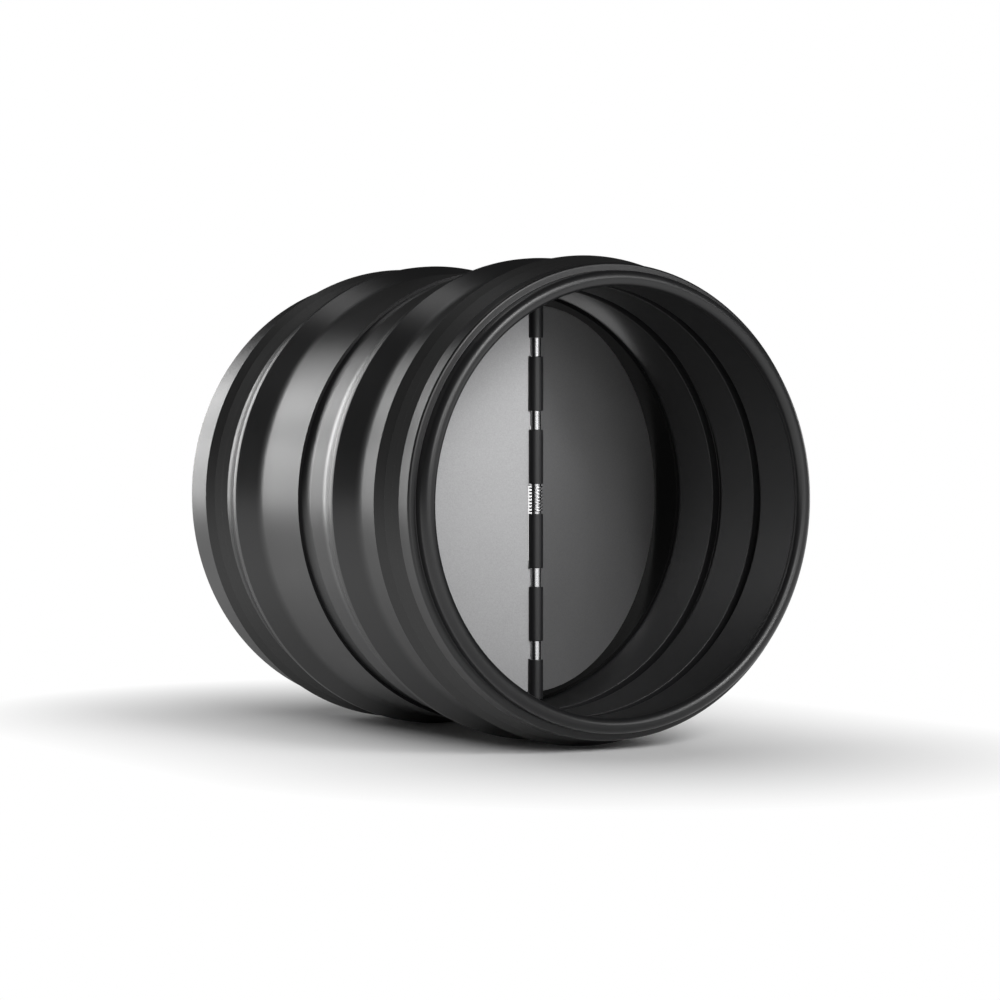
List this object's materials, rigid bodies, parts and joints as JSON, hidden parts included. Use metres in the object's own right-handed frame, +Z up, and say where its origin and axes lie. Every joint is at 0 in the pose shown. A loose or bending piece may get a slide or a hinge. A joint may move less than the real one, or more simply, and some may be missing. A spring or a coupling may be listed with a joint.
{
  "type": "duct backdraft damper",
  "caption": "Inline backdraft damper for 150 mm round duct: black moulded casing with raised crests and lip seals, and spring-loaded half-round blades on an upright rod.",
  "frame": {"origin": "middle of the casing on the duct axis", "axes": "+Y along the duct from inlet to outlet, +Z up along the hinge rod, +X to the right seen from the inlet"},
  "size_m": [0.1574, 0.1626, 0.1574],
  "materials": {
    "gloss_casing": "smooth gloss black moulding",
    "seal_rubber": "matt black rubber",
    "liner_foam": "dull black soft liner",
    "bright_steel": "bright drawn steel",
    "plug_plastic": "satin black plastic",
    "blade_satin": "fine satin black coat on thin sheet"
  },
  "bodies": {
    "casing": {"casing": "gloss_casing", "inlet_seal": "seal_rubber", "outlet_seal": "seal_rubber", "seat_liner": "liner_foam", "hinge_rod": "bright_steel", "upper_rod_plug": "plug_plastic", "lower_rod_plug": "plug_plastic", "closing_spring": "bright_steel"},
    "left_blade": {"left_blade": "blade_satin"},
    "right_blade": {"right_blade": "blade_satin"}
  },
  "joints": [
    {"name": "left_hinge", "type": "hinge", "parent": "casing", "child": "left_blade", "pos_m": [0, -0.0275, 0], "axis": [0, 0, -1], "range_deg": [0, 52], "stiffness_Nm_per_rad": 0.004, "springref_deg": -20.05, "deforming": ["closing_spring"]},
    {"name": "right_hinge", "type": "hinge", "parent": "casing", "child": "right_blade", "pos_m": [0, -0.0275, 0], "axis": [0, 0, 1], "range_deg": [0, 52], "stiffness_Nm_per_rad": 0.004, "springref_deg": -20.05, "deforming": ["closing_spring"]}
  ]
}
